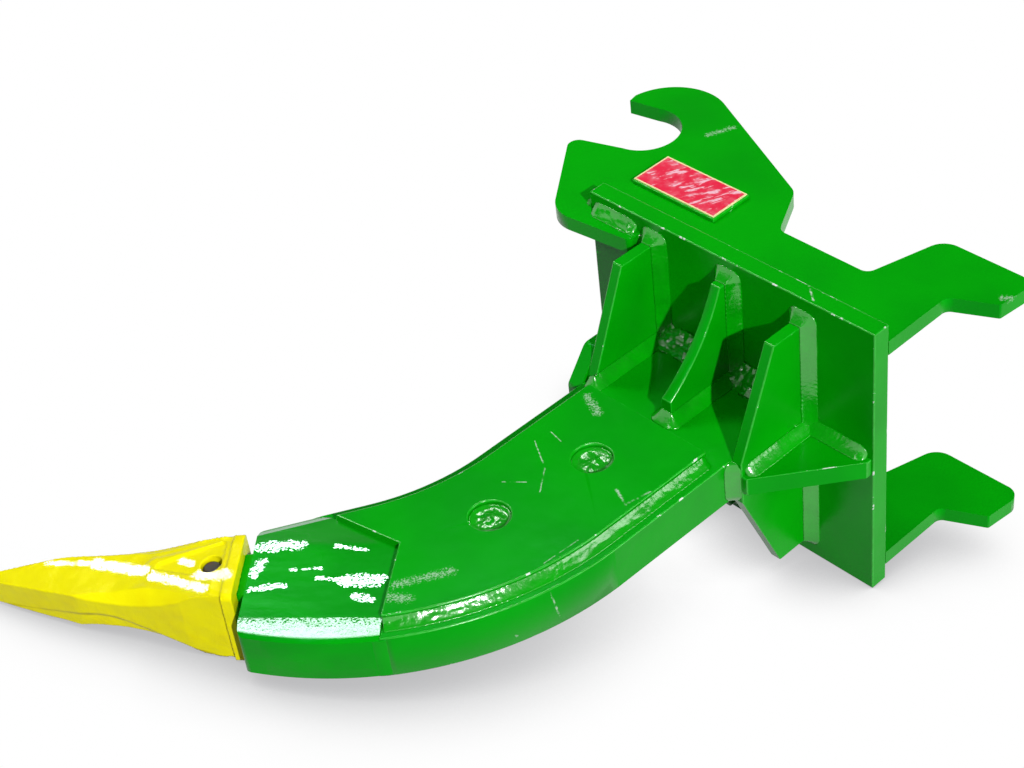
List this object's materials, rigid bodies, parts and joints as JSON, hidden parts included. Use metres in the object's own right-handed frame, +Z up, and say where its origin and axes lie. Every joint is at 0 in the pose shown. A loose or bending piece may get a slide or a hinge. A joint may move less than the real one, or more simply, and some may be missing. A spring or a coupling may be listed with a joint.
{
  "type": "excavator ripper",
  "caption": "Excavator ripper with hook-on coupler ears, a gusseted head plate, a curved plated shank and a pinned cast tooth, lying on its side.",
  "frame": {"origin": "middle of the hooks' pin line, on the ripper's middle plane", "axes": "+X from the hooks to the rear feet, along the head plate; +Z up from the floor it lies on; +Y from the tooth towards the hooks, along the floor. The hooks' pin line leans 12.6 degrees from +Z, as the ripper lies."},
  "size_m": [0.7162, 1.1177, 0.4276],
  "materials": {
    "green_paint": "gloss",
    "green_cast": "gloss over rough casting",
    "yellow_paint": "satin over rough casting",
    "pin_steel": "dull",
    "red_face": "satin, scratched"
  },
  "bodies": {
    "root": {"shank_core": "green_paint", "cheek_plate_upper": "green_paint", "cheek_plate_lower": "green_paint", "cheek_plugs_upper": "green_paint", "cheek_plugs_lower": "green_paint", "cheek_welds_upper": "green_paint", "cheek_welds_lower": "green_paint", "tooth_adapter": "green_cast", "tooth": "yellow_paint", "tooth_pin": "pin_steel", "pin_retainer": "pin_steel", "head_plate": "green_paint", "hook_ear_upper": "green_paint", "hook_ear_lower": "green_paint", "ear_welds_upper": "green_paint", "ear_welds_lower": "green_paint", "front_gusset_upper": "green_paint", "front_gusset_lower": "green_paint", "middle_gusset_upper": "green_paint", "middle_gusset_lower": "green_paint", "gusset_welds_upper": "green_paint", "gusset_welds_lower": "green_paint", "rear_plate": "green_paint", "rear_rib": "green_paint", "rear_welds": "green_paint", "front_plate": "green_paint", "front_welds": "green_paint", "name_plate": "green_paint", "name_face": "red_face"}
  },
  "joints": []
}
